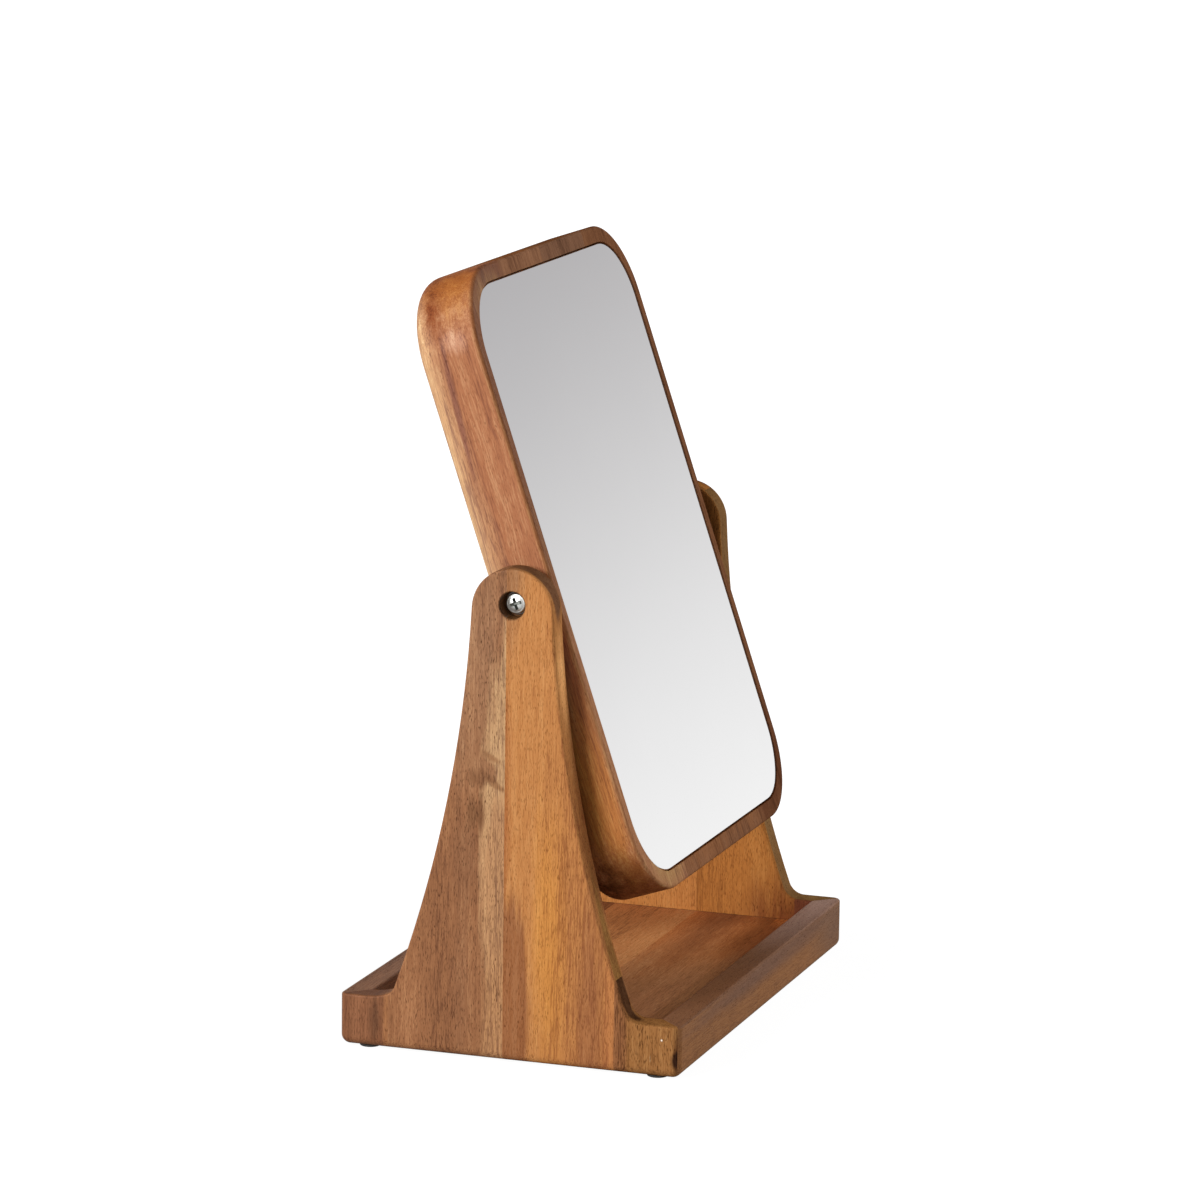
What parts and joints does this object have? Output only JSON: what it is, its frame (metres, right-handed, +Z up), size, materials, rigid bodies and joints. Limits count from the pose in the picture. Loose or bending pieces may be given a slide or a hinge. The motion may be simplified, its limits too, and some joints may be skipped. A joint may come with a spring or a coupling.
{
  "type": "vanity mirror with tray",
  "caption": "Table-top vanity mirror: a thick rounded wooden board with an inset mirror tilts on screws between two curved uprights of a shallow open tray.",
  "frame": {"origin": "on the standing surface, under the middle of the tray", "axes": "+Z up, -Y is the front that the mirror faces, X runs along the tilt axis"},
  "size_m": [0.237, 0.151, 0.3285],
  "materials": {
    "panel_wood": "satin lacquered hardwood, edge-glued staves, upright grain",
    "rail_wood": "satin lacquered hardwood, dark brown, grain along the rail",
    "floor_wood": "satin lacquered hardwood boards, grain along the tray",
    "board_wood": "satin lacquered hardwood, edge-glued staves, upright grain",
    "mirror_silver": "silvered flat glass",
    "foam_tape": "double-sided foam tape",
    "screw_zinc": "bright zinc plate",
    "washer_steel": "zinc plated steel",
    "spacer_nylon": "black nylon",
    "insert_brass": "turned brass",
    "foot_rubber": "matt black rubber"
  },
  "bodies": {
    "base": {"left_panel_front_stave": "panel_wood", "left_panel_mid_front_stave": "panel_wood", "left_panel_mid_back_stave": "panel_wood", "left_panel_back_stave": "panel_wood", "right_panel_front_stave": "panel_wood", "right_panel_mid_front_stave": "panel_wood", "right_panel_mid_back_stave": "panel_wood", "right_panel_back_stave": "panel_wood", "front_rail": "rail_wood", "back_rail": "rail_wood", "tray_floor_front_board": "floor_wood", "tray_floor_mid_front_board": "floor_wood", "tray_floor_mid_back_board": "floor_wood", "tray_floor_back_board": "floor_wood", "rubber_foot_front_left": "foot_rubber", "rubber_foot_front_right": "foot_rubber", "rubber_foot_back_left": "foot_rubber", "rubber_foot_back_right": "foot_rubber", "left_head_washer": "washer_steel", "right_head_washer": "washer_steel", "left_pivot_spacer": "spacer_nylon", "right_pivot_spacer": "spacer_nylon"},
    "mirror": {"mirror_board_left_stave": "board_wood", "mirror_board_mid_left_stave": "board_wood", "mirror_board_mid_right_stave": "board_wood", "mirror_board_right_stave": "board_wood", "mirror_glass": "mirror_silver", "mirror_tape": "foam_tape", "left_pivot_screw": "screw_zinc", "right_pivot_screw": "screw_zinc", "left_threaded_insert": "insert_brass", "right_threaded_insert": "insert_brass"}
  },
  "joints": [
    {"name": "mirror_tilt", "type": "hinge", "parent": "base", "child": "mirror", "pos_m": [0, 0, 0.19512], "axis": [1, 0, 0], "continuous": true}
  ]
}
